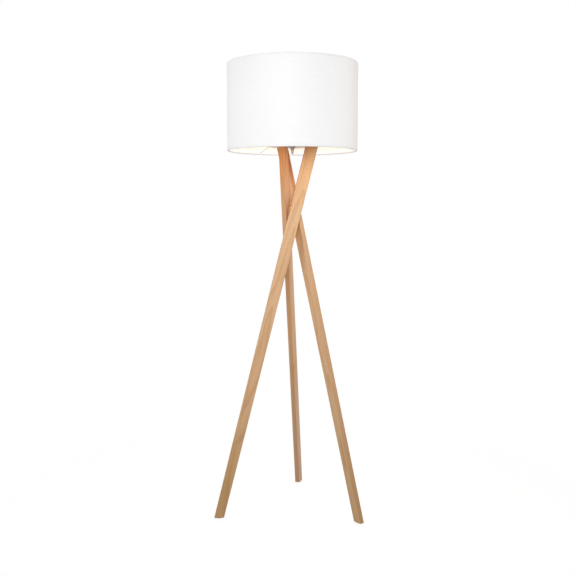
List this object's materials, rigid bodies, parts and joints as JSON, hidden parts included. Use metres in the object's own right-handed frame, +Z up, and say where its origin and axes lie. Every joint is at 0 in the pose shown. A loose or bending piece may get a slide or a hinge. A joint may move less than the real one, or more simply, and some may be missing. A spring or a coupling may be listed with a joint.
{
  "type": "tripod floor lamp",
  "caption": "Floor lamp with tapered board legs that cross in a twist below a white fabric drum shade; a screw-in bulb stands in a holder on a round wooden plate.",
  "frame": {"origin": "on the floor, on the lamp's upright axis, midway between the feet", "axes": "+Z up along the lamp's axis, +Y from the axis towards the back foot, +X to the right in the picture"},
  "size_m": [0.5166, 0.5213, 1.5605],
  "materials": {
    "wood": "clear satin varnish",
    "felt": "pressed felt",
    "zinc_steel": "zinc plated",
    "nickel": "satin nickel plated",
    "holder_plastic": "moulded, fine satin",
    "ceramic_white": "smooth",
    "brass": "pressed sheet",
    "shade_cloth": "plain woven white cloth",
    "shade_lining": "translucent lining sheet",
    "white_wire": "white powder coat",
    "bulb_opal": "opal diffuser",
    "bulb_white": "moulded",
    "bulb_board": "white solder mask",
    "light_chip": "phosphor",
    "black_plastic": "moulded"
  },
  "bodies": {
    "stand": {"leg_back": "wood", "leg_left": "wood", "leg_right": "wood", "waist_block": "wood", "waist_dowels": "wood", "top_plate": "wood", "foot_pad_back": "felt", "foot_pad_left": "felt", "foot_pad_right": "felt", "top_plate_screws": "zinc_steel", "lamp_pipe": "zinc_steel", "washer_upper": "zinc_steel", "lock_nut": "zinc_steel", "terminal_screws": "zinc_steel", "washer_lower": "nickel", "gland_body": "nickel", "gland_cone": "nickel", "holder_cap": "holder_plastic", "holder_body": "holder_plastic", "contact_block": "ceramic_white", "screw_shell": "brass", "centre_contact": "brass"},
    "shade": {"shade_fabric": "shade_cloth", "shade_liner": "shade_lining", "shade_ring_top": "white_wire", "shade_ring_bottom": "white_wire", "fitter_ring": "white_wire", "spoke_right": "white_wire", "spoke_back": "white_wire", "spoke_front": "white_wire"},
    "clamp_ring": {"clamp_ring": "holder_plastic"},
    "bulb_tip": {"bulb_tip": "zinc_steel"},
    "bulb": {"bulb_insulator": "black_plastic", "bulb_cap": "nickel", "bulb_housing": "bulb_white", "light_board": "bulb_board", "light_chips": "light_chip", "bulb_dome": "bulb_opal"}
  },
  "joints": [
    {"name": "shade_swivel", "type": "hinge", "parent": "stand", "child": "shade", "pos_m": [0, 0, 1.3282], "axis": [0, 0, 1], "continuous": true},
    {"name": "clamp_ring_rise", "type": "slide", "parent": "stand", "child": "clamp_ring", "axis": [0, 0, 1], "range_m": [0, 0.011]},
    {"name": "bulb_rise", "type": "slide", "parent": "stand", "child": "bulb_tip", "axis": [0, 0, 1], "range_m": [0, 0.01825]},
    {"name": "bulb_turn", "type": "hinge", "parent": "bulb_tip", "child": "bulb", "pos_m": [0, 0, 1.335], "axis": [0, 0, 1], "range_deg": [0, 1800]}
  ],
  "couplings": [
    {"joint": "bulb_rise", "follows": "bulb_turn", "m_per_rad": 0.00057773}
  ]
}
